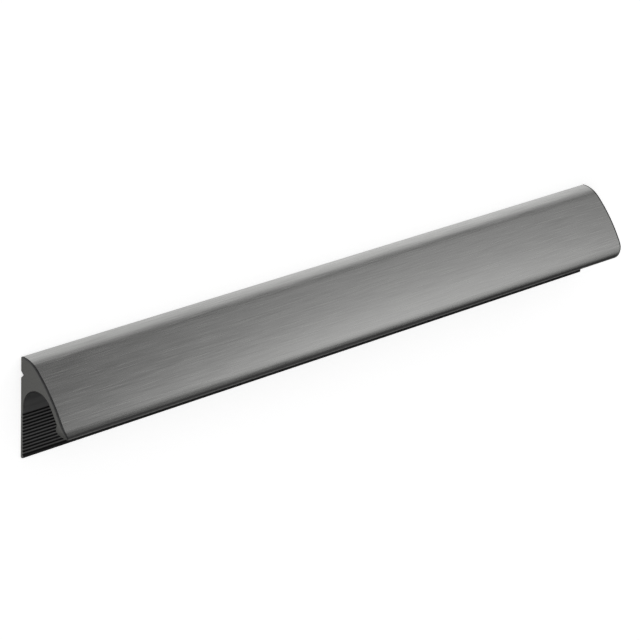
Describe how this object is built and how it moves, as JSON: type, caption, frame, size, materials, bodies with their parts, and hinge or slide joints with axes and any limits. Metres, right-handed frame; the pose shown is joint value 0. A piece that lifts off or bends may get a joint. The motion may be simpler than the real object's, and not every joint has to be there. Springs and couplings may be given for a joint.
{
  "type": "handleless finger pull profile",
  "caption": "Extruded finger pull strip for a drawer or cabinet front, with a curved front wall, an open finger space behind it and a grooved flat back plate.",
  "frame": {"origin": "middle of the flat back face: half way along the length and half way up the back", "axes": "+X along the length, +Y up as the profile is fitted on a door, +Z out of the door's front; it lies on its back on the plane Z = 0"},
  "size_m": [0.24, 0.03, 0.0176],
  "materials": {
    "finger_pull_profile": "dark grey, brushed along its length, satin"
  },
  "bodies": {
    "root": {"finger_pull_profile": "finger_pull_profile"}
  },
  "joints": []
}
